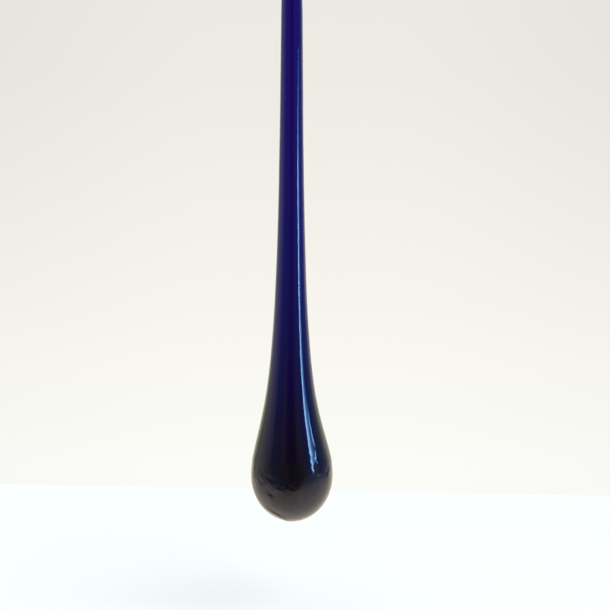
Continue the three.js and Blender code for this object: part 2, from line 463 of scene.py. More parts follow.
def make_hook():
    pts = hook_centreline()
    step = np.linalg.norm(np.diff(pts, axis=0), axis=1)
    s = np.concatenate([[0], np.cumsum(step)])
    # even stations, with close ones at the cut ends for the broken edge
    total = s[-1]
    stations = np.concatenate(
        [
            [0.0, 0.02, 0.06, 0.12, 0.2, 0.3, 0.42, 0.6],
            np.linspace(0.8, total - 0.8, 330),
            total - np.array([0.6, 0.42, 0.3, 0.2, 0.12, 0.06, 0.02, 0.0]),
        ]
    )
    p = np.stack([np.interp(stations, s, pts[:, i]) for i in range(3)], 1)
    sides = 40
    radii = np.full((len(p), sides), 1.3)
    end = np.minimum(stations, total - stations)
    bevel = 0.42
    cut = np.clip(end / bevel, 0, 1)
    radii *= (1 - 0.3 * (1 - np.sqrt(1 - (1 - cut) ** 2)))[:, None]
    angle = TAU * np.arange(sides) / sides
    for i, st in enumerate(stations):
        for k in range(sides):
            a = angle[k]
            w = noise.noise(Vector((math.cos(a) * 1.2, math.sin(a) * 1.2, st * 0.25)))
            radii[i, k] += 0.012 * w * min(1.0, end[i] / 1.0)
    # the flats that the pliers left where the lower bend was closed
    for centre, side, depth in ((total - 6.0, 0.0, 0.1), (total - 6.0, math.pi, 0.1), (total - 14.5, 0.0, 0.07), (total - 14.5, math.pi, 0.07)):
        press = np.exp(-(((stations - centre) / 1.4) ** 2))[:, None]
        facing = np.clip(np.cos(angle - side), 0, 1)[None, :] ** 6
        radii -= depth * press * facing
    return sweep("hook_wire", p, np.tile([0, 1.0, 0], (len(p), 1)), radii)


def make_eye(name, centre, barrel_end, up, in_yz):
    """A swivel eye: wire loop, shank, and the upset head inside the barrel. Built
    with the shank downwards, then turned over for the lower one."""
    drop = abs(centre - barrel_end)  # from the eye's centre to the barrel's end
    under = -(drop + 1.5)  # the head bears here, inside the barrel
    stem = [
        (under - 1.2, 1.05, 1.05),
        (under - 1.14, 1.5, 1.5),
        (under - 0.9, 1.68, 1.68),
        (under - 0.3, 1.7, 1.7),
        (under - 0.06, 1.6, 1.6),
        (under, 1.1, 1.1),
        (under + 0.05, 0.82, 0.82),
        (under + 0.5, 0.8, 0.8),
        (-(drop + 0.2), 0.8, 0.8),
        (-(drop - 0.15), 0.82, 0.8),
        (-4.25, 1.15, 0.86),
    ]
    stations = []
    grow = 1 / 0.9757
    for t in range(-55, 236, 18):
        a = math.radians(t)
        x, z = 3.6 * math.cos(a) * grow, 3.6 * math.sin(a) * grow
        stations.append((x, z, math.cos(a), math.sin(a), 0.8, 0.8))
    v, f = subdivided(*eye_cage(stem, -2.62, stations, cap=True), 3)
    # attribute along the wire for the draw marks
    theta = np.arctan2(v[:, 2], v[:, 0])
    loop = v[:, 2] > -4.0
    draw = np.stack(
        [
            np.where(loop, np.hypot(v[:, 0], v[:, 2]) - 3.6, v[:, 0]),
            v[:, 1],
            np.where(loop, theta * 3.6, v[:, 2]),
        ],
        1,
    )
    if not up:
        v = v * [1, -1, -1]
    if in_yz:
        v = np.stack([-v[:, 1], v[:, 0], v[:, 2]], 1)
    v[:, 2] += centre
    obj = new_object(name, v, f)
    put_vectors(obj, "draw", draw)
    return face_out(obj)


def make_barrel():
    t, b = BARREL_TOP, BARREL_FOOT
    half = [
        # hole edge, end face, swaged shoulder with its rolled lip, then the shell
        (1.12, 0.0), (1.2, -0.03), (1.42, 0.0), (1.6, 0.0), (1.72, -0.03),
        (1.82, -0.1), (1.93, -0.22), (2.05, -0.42), (2.2, -0.72), (2.36, -1.05),
        (2.5, -1.36), (2.61, -1.66), (2.69, -1.96), (2.745, -2.2), (2.775, -2.4),
        (2.775, -2.47), (2.74, -2.53), (2.74, -2.62), (2.79, -2.68), (2.8, -2.76),
        (2.8, -3.1), (2.8, -3.9),
    ]  # fmt: skip
    prof = [(r, t + z) for r, z in half] + [(2.8, (t + b) / 2)]
    prof += [(r, b - z) for r, z in reversed(half)]
    wall, bore, hole = 1.2, 2.1, 1.12
    prof += [(hole, b + 0.3), (hole, b + wall - 0.06), (hole + 0.06, b + wall)]
    prof += [(bore - 0.2, b + wall), (bore, b + wall + 0.2), (bore, t - wall - 0.2)]
    prof += [(bore - 0.2, t - wall), (hole + 0.06, t - wall), (hole, t - wall - 0.0 + 0.06)]
    prof += [(hole, t - 0.3)]
    return turned("swivel_shell", prof, 96, closed=True)


def make_ring():
    n, sides = 240, 32
    a0 = math.radians(205)  # the weld
    angle = a0 + TAU * np.arange(n) / n
    pts = np.stack(
        [np.zeros(n), 7.6 * np.cos(angle), RING_C + 7.6 * np.sin(angle)], 1
    )
    outward = np.stack([np.zeros(n), np.cos(angle), np.sin(angle)], 1)
    radii = np.full((n, sides), 1.0)
    arc = np.minimum(np.arange(n), n - np.arange(n)) * (TAU * 7.6 / n)
    radii += (0.07 * np.exp(-((arc / 0.75) ** 2)) - 0.05 * np.exp(-(((arc - 1.25) / 0.35) ** 2)))[:, None]
    section = TAU * np.arange(sides) / sides
    for i in range(n):
        for k in range(sides):
            w = noise.noise(
                Vector((math.cos(section[k]) + 4, math.cos(angle[i]) * 6, math.sin(angle[i]) * 6))
            )
            radii[i, k] += 0.012 * w + 0.03 * w * math.exp(-((arc[i] / 0.8) ** 2))
    radii = np.minimum(radii, 1.04)
    return sweep("ring_wire", pts, outward, radii, closed=True)


# ------------------------------------------------------------------ materials
def nodes_of(name):
    mat = bpy.data.materials.new(name)
    mat.use_nodes = True
    tree = mat.node_tree
    tree.nodes.clear()
    out = tree.nodes.new("ShaderNodeOutputMaterial")
    shader = tree.nodes.new("ShaderNodeBsdfPrincipled")
    tree.links.new(shader.outputs["BSDF"], out.inputs["Surface"])
    return mat, tree, shader, out


def add(tree, kind, values=None, **props):
    n = tree.nodes.new(kind)
    for k, v in props.items():
        setattr(n, k, v)
    for k, v in (values or {}).items():
        n.inputs[k].default_value = v
    return n


def ramp(tree, stops, mode="LINEAR"):
    n = tree.nodes.new("ShaderNodeValToRGB")
    n.color_ramp.interpolation = mode
    e = n.color_ramp.elements
    while len(e) > 1:
        e.remove(e[-1])
    e[0].position, e[0].color = stops[0][0], (*stops[0][1], 1)
    for p, c in stops[1:]:
        x = e.new(p)
        x.color = (*c, 1)
    return n


def grey(v):
    return (v, v, v)


def cobalt_glass():
    mat, tree, s, out = nodes_of("cobalt_glass")
    s.inputs["Transmission Weight"].default_value = 1.0
    s.inputs["IOR"].default_value = 1.52
    s.inputs["Metallic"].default_value = 0.0
    link = tree.links.new
    co = add(tree, "ShaderNodeTexCoord")
    # long drawn streaks of slightly uneven cobalt
    stretch = add(tree, "ShaderNodeMapping")
    stretch.inputs["Scale"].default_value = (430, 430, 7)
    link(co.outputs["Object"], stretch.inputs["Vector"])
    streak = add(tree, "ShaderNodeTexNoise", {"Scale": 1.0, "Detail": 4.0, "Roughness": 0.55, "Distortion": 0.35})
    link(stretch.outputs["Vector"], streak.inputs["Vector"])
    tint = ramp(
        tree,
        [
            (0.28, (0.030, 0.010, 0.225)),
            (0.45, (0.055, 0.018, 0.285)),
            (0.58, (0.100, 0.022, 0.310)),
            (0.74, (0.190, 0.030, 0.330)),
        ],
    )
    link(streak.outputs["Fac"], tint.inputs["Fac"])
    link(tint.outputs["Color"], s.inputs["Base Color"])
    # faint smears of handling and dust on a fire-polished skin
    smear = add(tree, "ShaderNodeTexNoise", {"Scale": 55.0, "Detail": 6.0, "Roughness": 0.62, "Distortion": 0.8})
    link(co.outputs["Object"], smear.inputs["Vector"])
    rough = ramp(tree, [(0.45, grey(0.004)), (0.66, grey(0.012)), (0.80, grey(0.045))])
    link(smear.outputs["Fac"], rough.inputs["Fac"])
    link(rough.outputs["Color"], s.inputs["Roughness"])
    # Height over the foot in mm, and the turn round the axis in degrees from the
    # front, + to the right: the marks of drawing and shearing lie by these.
    def calc(op, a, b=None, c=None, clamp=False):
        n = add(tree, "ShaderNodeMath", operation=op, use_clamp=clamp)
        for i, v in enumerate((a, b, c)):
            if v is None:
                continue
            if isinstance(v, (int, float)):
                n.inputs[i].default_value = v
            else:
                link(v, n.inputs[i])
        return n.outputs[0]

    def curve(value, lo, hi, points):
        """A number read from a table of (at, number), numbers from 0 to 1."""
        r = ramp(tree, [((p - lo) / (hi - lo), grey(v)) for p, v in points])
        link(calc("DIVIDE", calc("SUBTRACT", value, lo), hi - lo, clamp=True), r.inputs["Fac"])
        return r.outputs["Color"]

    xyz = add(tree, "ShaderNodeSeparateXYZ")
    link(co.outputs["Object"], xyz.inputs["Vector"])
    h = calc("MULTIPLY", calc("SUBTRACT", xyz.outputs["Z"], FOOT * MM), 1000.0)
    phi = calc(
        "MULTIPLY",
        calc("ARCTAN2", xyz.outputs["X"], calc("MULTIPLY", xyz.outputs["Y"], -1.0)),
        180 / math.pi,
    )
    # soft waves everywhere, faint in the drawn neck
    wave_map = add(tree, "ShaderNodeMapping")
    wave_map.inputs["Scale"].default_value = (120, 120, 60)
    link(co.outputs["Object"], wave_map.inputs["Vector"])
    wave = add(tree, "ShaderNodeTexNoise", {"Scale": 1.0, "Detail": 2.5, "Roughness": 0.45, "Distortion": 0.2})
    link(wave_map.outputs["Vector"], wave.inputs["Vector"])
    wave_h = calc("MULTIPLY", calc("MULTIPLY", wave.outputs["Fac"], 0.040), curve(h, 0, 300, [(0, 1.0), (60, 1.0), (110, 0.35), (270, 0.3), (300, 1.0)]))
    # chill wrinkles round the bulb
    chill_map = add(tree, "ShaderNodeMapping")
    chill_map.inputs["Scale"].default_value = (150, 150, 330)
    chill_map.inputs["Location"].default_value = (3.1, 1.7, 0.4)
    link(co.outputs["Object"], chill_map.inputs["Vector"])
    chill = add(tree, "ShaderNodeTexNoise", {"Scale": 1.0, "Detail": 3.0, "Roughness": 0.5, "Distortion": 0.6})
    link(chill_map.outputs["Vector"], chill.inputs["Vector"])
    chill_h = calc("MULTIPLY", calc("MULTIPLY", chill.outputs["Fac"], 0.10), curve(h, 0, 60, [(0, 0.1), (12, 0.35), (18, 1.0), (33, 1.0), (40, 0.35), (50, 0.0), (60, 0.0)]))
    # one drawn cord that runs down the right of the shoulder and dies in the bulb
    run = curve(h, 24, 64, [(24, 0.83), (30, 0.87), (33, 0.79), (36, 0.80), (38.1, 0.91), (39, 0.88), (42, 0.75), (47, 0.67), (52, 0.62), (55, 0.60), (64, 0.55)])
    off = calc("MULTIPLY", calc("SUBTRACT", phi, calc("ADD", calc("MULTIPLY", run, 12.0), 29.9)), 0.31)
    bell = calc("POWER", math.e, calc("MULTIPLY", calc("MULTIPLY", off, off), -4.1))
    cord_h = calc("MULTIPLY", calc("MULTIPLY", bell, 0.13), curve(h, 24, 64, [(24, 0.0), (25.5, 0.3), (27, 0.5), (28.2, 0.2), (29.5, 0.6), (31.5, 0.6), (32.8, 0.15), (34, 0.7), (37, 0.95), (37.8, 0.1), (38.4, 0.1), (39.2, 0.95), (42, 0.74), (47, 0.58), (52, 0.48), (55, 0.38), (58, 0.22), (61, 0.08), (64, 0.0)]))

    # Where the drop was laid down while soft: slanting creases on the left of the
    # bulb, and short lumps across the front.
    arc = calc("MULTIPLY", phi, 0.355)

    def crease(su, sv, seed, turn_by):
        """Noise over the glass in mm, its grain turned by an angle in degrees."""
        c, k = math.cos(math.radians(turn_by)), math.sin(math.radians(turn_by))
        u = calc("ADD", calc("MULTIPLY", arc, -k * su), calc("MULTIPLY", h, c * su))
        v = calc("ADD", calc("MULTIPLY", arc, c * sv), calc("MULTIPLY", h, k * sv))
        at = add(tree, "ShaderNodeCombineXYZ")
        link(u, at.inputs["X"])
        link(v, at.inputs["Y"])
        at.inputs["Z"].default_value = seed
        n = add(tree, "ShaderNodeTexNoise", {"Scale": 1.0, "Detail": 2.0, "Roughness": 0.5, "Distortion": 0.3})
        link(at.outputs["Vector"], n.inputs["Vector"])
        return calc("SUBTRACT", n.outputs["Fac"], 0.5)

    left = calc(
        "MULTIPLY",
        curve(phi, -90, 0, [(-90, 0.0), (-72, 0.10), (-58, 0.45), (-46, 0.9), (-40, 1.0), (-30, 0.85), (-20, 0.35), (-10, 0.06), (0, 0.0)]),
        curve(h, 0, 40, [(0, 0.0), (9, 0.04), (14, 0.22), (17.5, 0.5), (20.5, 0.95), (23, 1.0), (25.5, 0.8), (28, 0.3), (32, 0.0), (40, 0.0)]),
    )
    left_h = calc("MULTIPLY", calc("MULTIPLY", crease(0.62, 0.26, 4.3, -34), 0.58), left)
    middle = calc(
        "MULTIPLY",
        curve(phi, -60, 60, [(-60, 0.0), (-36, 0.0), (-28, 0.3), (-20, 0.9), (-14, 1.0), (4, 1.0), (10, 0.8), (17, 0.25), (25, 0.0), (60, 0.0)]),
        curve(h, 0, 40, [(0, 0.0), (12, 0.0), (15, 0.15), (17.5, 0.6), (19, 1.0), (21.5, 1.0), (23.5, 0.4), (26, 0.08), (30, 0.0), (40, 0.0)]),
    )
    fold = calc(
        "MULTIPLY",
        curve(phi, -60, 60, [(-60, 0.0), (-27, 0.0), (-19, 0.7), (-13, 1.0), (7, 1.0), (11, 0.8), (17, 0.0), (60, 0.0)]),
        calc("SUBTRACT", curve(h, 0, 40, [(0, 0.40), (8, 0.41), (14, 0.56), (18.2, 0.76), (19.3, 0.72), (22.4, 0.26), (23.4, 0.22), (28, 0.32), (34, 0.40), (40, 0.40)]), 0.40),
    )
    middle_h = calc("MULTIPLY", calc("MULTIPLY", crease(0.72, 0.48, 9.1, -8), 0.55), middle)

    def mark(h0, phi0, high, long, lift, slide, lean, per_deg):
        """A small step in the skin, sizes in mm: high across it and long along it,
        leaning by degrees. lift raises its upper side, slide its right side."""
        c, k = math.cos(math.radians(lean)), math.sin(math.radians(lean))
        dh = calc("SUBTRACT", h, h0)
        da = calc("MULTIPLY", calc("SUBTRACT", phi, phi0), per_deg)
        p = calc("ADD", calc("MULTIPLY", dh, c / high), calc("MULTIPLY", da, k / high))
        q = calc("ADD", calc("MULTIPLY", dh, -k / long), calc("MULTIPLY", da, c / long))
        square = calc("ADD", calc("MULTIPLY", p, p), calc("MULTIPLY", q, q))
        step = calc("ADD", calc("MULTIPLY", p, lift), calc("MULTIPLY", q, slide))
        return calc("DIVIDE", step, calc("ADD", square, 1.0))

    marks = None
    for one in (
        (15.6, -32.3, 1.3, 1.15, -0.66, 0.0, 24, 0.33),
        (22.1, -30.5, 1.0, 2.2, -0.27, 0.0, 27, 0.355),
        (25.6, -44.0, 1.0, 2.0, -0.16, 0.0, 27, 0.355),
        (29.5, -65.0, 2.2, 0.80, 0.0, -0.20, 0, 0.355),
        (26.0, 61.0, 1.0, 0.90, -0.24, 0.24, 0, 0.355),
        (5.4, -34.0, 1.3, 2.8, -0.66, 0.0, 34, 0.232),
        (13.5, -62.0, 0.9, 1.0, -0.16, -0.06, 30, 0.33),
        (18.8, -70.0, 1.0, 1.0, -0.14, -0.10, 20, 0.34),
        (33.2, 36.5, 0.6, 0.9, -0.03, 0.10, 0, 0.355),
        (27.7, 36.4, 0.55, 0.8, -0.10, -0.09, 12, 0.355),
        (25.4, 36.8, 0.5, 1.1, 0.10, 0.08, -10, 0.355),
    ):
        marks = mark(*one) if marks is None else calc("ADD", marks, mark(*one))
    # a few specks of dust caught when it was hot
    cell = add(tree, "ShaderNodeTexVoronoi", {"Scale": 210.0, "Randomness": 1.0})
    link(co.outputs["Object"], cell.inputs["Vector"])
    speck = ramp(tree, [(0.0, grey(1.0)), (0.045, grey(1.0)), (0.075, grey(0.0))])
    link(cell.outputs["Distance"], speck.inputs["Fac"])
    speck_h = calc("MULTIPLY", speck.outputs["Color"], 0.02)
    relief = calc("ADD", calc("ADD", wave_h, chill_h), calc("ADD", cord_h, speck_h))
    relief = calc("ADD", relief, calc("ADD", calc("ADD", marks, fold), calc("ADD", left_h, middle_h)))
    bump = add(tree, "ShaderNodeBump", {"Strength": 1.0, "Distance": 0.001})
    link(relief, bump.inputs["Height"])
    link(bump.outputs["Normal"], s.inputs["Normal"])
    body = add(tree, "ShaderNodeVolumeAbsorption")
    body.inputs["Color"].default_value = (0.44, 0.0, 0.82, 1)
    body.inputs["Density"].default_value = 480.0
    link(body.outputs["Volume"], out.inputs["Volume"])
    return mat


def drawn_steel(name, light, dark, rough, weld=False, plated=False):
    mat, tree, s, out = nodes_of(name)
    s.inputs["Metallic"].default_value = 1.0
    link = tree.links.new
    at = add(tree, "ShaderNodeAttribute", attribute_name="draw")
    co = add(tree, "ShaderNodeTexCoord")
    # draw marks run along the wire, or round the turned shell
    lines = add(tree, "ShaderNodeMapping")
    lines.inputs["Scale"].default_value = (1.2, 1.2, 22.0) if plated else (26.0, 26.0, 0.35)
    link(at.outputs["Vector"], lines.inputs["Vector"])
    marks = add(tree, "ShaderNodeTexNoise", {"Scale": 1.0, "Detail": 3.0, "Roughness": 0.6})
    link(lines.outputs["Vector"], marks.inputs["Vector"])
    cloud = add(tree, "ShaderNodeTexNoise", {"Scale": 380.0, "Detail": 5.0, "Roughness": 0.6})
    link(co.outputs["Object"], cloud.inputs["Vector"])
    colour = ramp(tree, [(0.3, dark), (0.5, tuple((a + b) / 2 for a, b in zip(light, dark))), (0.68, light)])
    link(cloud.outputs["Fac"], colour.inputs["Fac"])
    last = colour.outputs["Color"]
    # painted shade: the colour darkens in the crevices, where the surface curves inward, standing for shade there and
    # a little grime
    geo = add(tree, "ShaderNodeNewGeometry")
    crevice_shade_and_grime = ramp(tree, [(0.40, (0.35, 0.32, 0.29)), (0.49, (1, 1, 1))])
    link(geo.outputs["Pointiness"], crevice_shade_and_grime.inputs["Fac"])
    # multiplies the painted crevice shade into the steel's colour
    mix = add(tree, "ShaderNodeMix", data_type="RGBA", blend_type="MULTIPLY")
    mix.inputs["Factor"].default_value = 0.7
    link(last, mix.inputs[6])
    link(crevice_shade_and_grime.outputs["Color"], mix.inputs[7])
    last = mix.outputs[2]
    if weld:
        sep = add(tree, "ShaderNodeSeparateXYZ")
        link(at.outputs["Vector"], sep.inputs["Vector"])
        whole = TAU * 7.6
        near = ramp(
            tree,
            [
                (0.0, (0.62, 0.55, 0.46)),
                (0.022, (0.72, 0.58, 0.36)),
                (0.04, (0.45, 0.42, 0.62)),
                (0.062, (1, 1, 1)),
                (0.938, (1, 1, 1)),
                (0.96, (0.45, 0.42, 0.62)),
                (0.978, (0.72, 0.58, 0.36)),
                (1.0, (0.62, 0.55, 0.46)),
            ],
        )
        div = add(tree, "ShaderNodeMath", operation="DIVIDE")
        div.inputs[1].default_value = whole
        link(sep.outputs["Z"], div.inputs[0])
        link(div.outputs[0], near.inputs["Fac"])
        m2 = add(tree, "ShaderNodeMix", data_type="RGBA", blend_type="MULTIPLY")
        m2.inputs["Factor"].default_value = 0.8
        link(last, m2.inputs[6])
        link(near.outputs["Color"], m2.inputs[7])
        last = m2.outputs[2]
    link(last, s.inputs["Base Color"])
    r = ramp(tree, [(0.25, grey(rough - 0.08)), (0.75, grey(rough + 0.12))])
    add2 = add(tree, "ShaderNodeMix", data_type="FLOAT")
    add2.inputs["Factor"].default_value = 0.5
    link(marks.outputs["Fac"], add2.inputs[2])
    link(cloud.outputs["Fac"], add2.inputs[3])
    link(add2.outputs[0], r.inputs["Fac"])
    link(r.outputs["Color"], s.inputs["Roughness"])
    bump = add(tree, "ShaderNodeBump", {"Strength": 0.35, "Distance": 0.00003})
    link(marks.outputs["Fac"], bump.inputs["Height"])
    nick = add(tree, "ShaderNodeTexVoronoi", {"Scale": 900.0})
    link(co.outputs["Object"], nick.inputs["Vector"])
    nr = ramp(tree, [(0.0, grey(0.0)), (0.12, grey(1.0))])
    link(nick.outputs["Distance"], nr.inputs["Fac"])
    bump2 = add(tree, "ShaderNodeBump", {"Strength": 0.25, "Distance": 0.00003})
    link(nr.outputs["Color"], bump2.inputs["Height"])
    link(bump.outputs["Normal"], bump2.inputs["Normal"])
    link(bump2.outputs["Normal"], s.inputs["Normal"])
    return mat


# ------------------------------------------------------------------ the object
drop = make_drop()
hook = make_hook()
upper = make_eye("upper_eye_wire", UPPER_EYE, BARREL_TOP, True, True)
lower = make_eye("lower_eye_wire", LOWER_EYE, BARREL_FOOT, False, False)
shell = make_barrel()
ring = make_ring()

GLASS = cobalt_glass()
HOOK_STEEL = drawn_steel("hook_steel", (0.70, 0.70, 0.71), (0.50, 0.50, 0.51), 0.26)
EYE_STEEL = drawn_steel("swivel_steel", (0.66, 0.66, 0.66), (0.46, 0.46, 0.46), 0.28)
NICKEL = drawn_steel("swivel_nickel", (0.74, 0.72, 0.68), (0.60, 0.58, 0.54), 0.18, plated=True)
RING_STEEL = drawn_steel("ring_steel", (0.70, 0.70, 0.71), (0.52, 0.52, 0.53), 0.24, weld=True)

for obj, mat, body, node, slot in (
    (drop, GLASS, "drop", "glass_drop", "cobalt_glass"),
    (hook, HOOK_STEEL, "hook", "s_hook", "hook_steel"),
    (upper, EYE_STEEL, "swivel_top", "swivel_upper_eye", "swivel_steel"),
    (lower, EYE_STEEL, "swivel_bottom", "swivel_lower_eye", "swivel_steel"),
    (shell, NICKEL, "barrel", "swivel_barrel", "swivel_nickel"),
    (ring, RING_STEEL, "ring", "hanging_ring", "ring_steel"),
):
    obj.data.materials.clear()
    obj.data.materials.append(mat)
    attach(obj, body)
    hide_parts(node)

# ------------------------------------------------------------------ stage
scene = bpy.context.scene
scene.view_settings.view_transform = "Standard"
scene.view_settings.look = "None"
scene.view_settings.exposure = 0.0
scene.view_settings.gamma = 1.0

FLOOR_Z = (FOOT - 45.0) * MM
floor_mesh = bpy.data.meshes.new("floor")
floor_mesh.from_pydata(
    [(-0.3, -0.36, FLOOR_Z), (0.3, -0.36, FLOOR_Z), (0.3, 0.326, FLOOR_Z), (-0.3, 0.396, FLOOR_Z)],
    [],
    [(0, 1, 2, 3)],
)
floor = bpy.data.objects.new("floor", floor_mesh)
scene.collection.objects.link(floor)
floor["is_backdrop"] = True
floor.visible_glossy = False
floor.visible_transmission = False
fm, ft, fs, fo = nodes_of("floor_white")
fs.inputs["Base Color"].default_value = (0.778, 0.822, 0.84, 1)
fs.inputs["Roughness"].default_value = 0.9
fs.inputs["Specular IOR Level"].default_value = 0.0
# the shade of the drop lies in the middle; towards its edges the table is evenly lit
fc = add(ft, "ShaderNodeTexCoord")
f_sep = add(ft, "ShaderNodeSeparateXYZ")
ft.links.new(fc.outputs["Object"], f_sep.inputs["Vector"])
edge = None
for axis, lo, hi in (("X", 0.07, 0.24), ("Y", 0.09, 0.28)):
    off = add(ft, "ShaderNodeMath", operation="ABSOLUTE")
    ft.links.new(f_sep.outputs[axis], off.inputs[0])
    far = add(ft, "ShaderNodeMapRange", {"From Min": lo, "From Max": hi}, interpolation_type="SMOOTHSTEP")
    ft.links.new(off.outputs[0], far.inputs["Value"])
    if edge is not None:
        both = add(ft, "ShaderNodeMath", operation="MAXIMUM")
        ft.links.new(edge, both.inputs[0])
        ft.links.new(far.outputs["Result"], both.inputs[1])
        edge = both.outputs[0]
    else:
        edge = far.outputs["Result"]
even = add(ft, "ShaderNodeEmission", {"Color": (0.958, 1.0, 1.0, 1.0), "Strength": 1.0})
f_mix = add(ft, "ShaderNodeMixShader")
ft.links.new(edge, f_mix.inputs[0])
ft.links.new(fs.outputs[0], f_mix.inputs[1])
ft.links.new(even.outputs[0], f_mix.inputs[2])
ft.links.new(f_mix.outputs[0], fo.inputs["Surface"])
floor_mesh.materials.append(fm)

# World: a pale room. What the lens sees is a cream wall that darkens a little
# away from the middle; the glass mirrors a dim room in front, a pale wall behind,
# a white table below and one tall window on the right; a dimmer strip lights the back.
world = bpy.data.worlds.new("studio")
scene.world = world
world.use_nodes = True
wt = world.node_tree
wt.nodes.clear()
wl = wt.links.new
w_out = wt.nodes.new("ShaderNodeOutputWorld")


def math_node(op, a, b=None, clamp=False):
    n = wt.nodes.new("ShaderNodeMath")
    n.operation = op
    n.use_clamp = clamp
    for i, v in enumerate((a, b)):
        if v is None:
            continue
        if isinstance(v, (int, float)):
            n.inputs[i].default_value = v
        else:
            wl(v, n.inputs[i])
    return n.outputs[0]


def mapped(value, lo, hi, smooth=True):
    n = wt.nodes.new("ShaderNodeMapRange")
    n.interpolation_type = "SMOOTHSTEP" if smooth else "LINEAR"
    n.inputs["From Min"].default_value = lo
    n.inputs["From Max"].default_value = hi
    wl(value, n.inputs["Value"])
    return n.outputs["Result"]


def band(value, lo, hi, soft):
    return math_node(
        "MULTIPLY",
        mapped(value, lo - soft, lo + soft),
        math_node("SUBTRACT", 1.0, mapped(value, hi - soft, hi + soft)),
    )


def mix_colour(fac, a, b):
    n = wt.nodes.new("ShaderNodeMix")
    n.data_type = "RGBA"
    wl(fac, n.inputs["Factor"])
    for i, v in ((6, a), (7, b)):
        if isinstance(v, tuple):
            n.inputs[i].default_value = (*v, 1)
        else:
            wl(v, n.inputs[i])
    return n.outputs[2]


def srgb(r, g, b):
    f = lambda c: c / 255 / 12.92 if c / 255 <= 0.04045 else ((c / 255 + 0.055) / 1.055) ** 2.4
    return (f(r), f(g), f(b))


tc = wt.nodes.new("ShaderNodeTexCoord")
sep = wt.nodes.new("ShaderNodeSeparateXYZ")
wl(tc.outputs["Generated"], sep.inputs["Vector"])
dx, dy, dz = sep.outputs["X"], sep.outputs["Y"], sep.outputs["Z"]
front = math_node("MULTIPLY", dy, -1.0)
az = math_node("ARCTAN2", dx, front)  # 0 towards the lens side, + to the right
az_deg = math_node("MULTIPLY", az, 180 / math.pi)
el = math_node("ARCSINE", dz)
el_deg = math_node("MULTIPLY", el, 180 / math.pi)

# camera rays
wall = ramp(
    wt,
    [
        (0.0, srgb(252, 253, 249)),
        (0.36, srgb(251, 252, 247)),
        (0.50, srgb(247, 244, 237)),
        (0.70, srgb(238, 235, 228)),
        (1.0, srgb(229, 227, 220)),
    ],
)
wl(mapped(dz, -0.5, 0.5, smooth=False), wall.inputs["Fac"])
off = math_node("ABSOLUTE", dx)
side = mapped(off, 0.06, 0.34)
low = mapped(dz, -0.12, 0.25)
dim = math_node("MULTIPLY", side, math_node("ADD", math_node("MULTIPLY", low, 0.10), 0.05))
seen = mix_colour(dim, wall.outputs["Color"], (0.45, 0.46, 0.46))
seen = mix_colour(mapped(el_deg, -9.9, -9.6, smooth=False), (0.958, 1.0, 1.0), seen)

# glossy rays
ROOM = [
    (-180, (1.1, 1.06, 0.9)), (-146, (1.03, 1.073, 0.85)),
    (-134, (0.74, 0.77, 0.48)), (-124, (0.38, 0.39, 0.13)),
    (-113, (0.678, 0.672, 0.512)), (-104, (0.662, 0.619, 0.528)),
    (-94, (0.623, 0.578, 0.631)), (-85, (0.546, 0.502, 0.624)),
    (-75, (0.441, 0.401, 0.538)), (-66, (0.321, 0.29, 0.411)),
    (-58, (0.154, 0.155, 0.255)), (-48, (0.151, 0.155, 0.276)),
    (-37, (0.157, 0.129, 0.161)), (-31, (0.212, 0.152, 0.268)),
    (-25, (0.259, 0.156, 0.204)), (-15, (0.148, 0.078, 0.091)),
    (-8, (0.101, 0.06, 0.08)), (6, (0.113, 0.062, 0.042)),
    (14, (0.145, 0.068, 0.084)), (23, (0.238, 0.18, 0.217)),
    (34, (0.216, 0.198, 0.312)), (45, (0.145, 0.178, 0.594)),
    (54, (0.12, 0.18, 0.6)), (80, (0.12, 0.19, 0.62)),
    (88, (0.123, 0.215, 0.609)), (96, (0.186, 0.275, 0.574)),
    (106, (0.25, 0.335, 0.44)), (111, (0.33, 0.385, 0.36)), (117, (0.52, 0.56, 0.47)),
    (126, (0.886, 0.875, 0.812)), (136, (1.121, 1.1, 0.981)),
    (180, (1.1, 1.06, 0.9)),
]  # fmt: skip
room = ramp(wt, [((d + 180) / 360, c) for d, c in ROOM])
turn = math_node("ADD", math_node("DIVIDE", az_deg, 360.0), 0.5)
wl(turn, room.inputs["Fac"])
# uneven upright bands in front, as furniture and folds give
fold = wt.nodes.new("ShaderNodeTexNoise")
fold.inputs["Scale"].default_value = 1.0
fold.inputs["Detail"].default_value = 2.0
fold.inputs["Roughness"].default_value = 0.65
fold_at = wt.nodes.new("ShaderNodeCombineXYZ")
wl(math_node("MULTIPLY", az_deg, 0.17), fold_at.inputs["X"])
wl(math_node("MULTIPLY", el_deg, 0.014), fold_at.inputs["Y"])
wl(fold_at.outputs["Vector"], fold.inputs["Vector"])
fold_mix = wt.nodes.new("ShaderNodeMix")
fold_mix.data_type = "RGBA"
fold_mix.blend_type = "MULTIPLY"
wl(band(az_deg, -62, 52, 8), fold_mix.inputs["Factor"])
wl(room.outputs["Color"], fold_mix.inputs[6])
fold_gain = wt.nodes.new("ShaderNodeVectorMath")
fold_gain.operation = "MULTIPLY_ADD"
fold_gain.inputs[1].default_value = (1.5, 1.3, 1.4)
fold_gain.inputs[2].default_value = (0.25, 0.35, 0.3)
wl(fold.outputs["Color"], fold_gain.inputs[0])
fold_clip = wt.nodes.new("ShaderNodeVectorMath")
fold_clip.operation = "MAXIMUM"
fold_clip.inputs[1].default_value = (0.25, 0.25, 0.25)
wl(fold_gain.outputs["Vector"], fold_clip.inputs[0])
wl(fold_clip.outputs["Vector"], fold_mix.inputs[7])
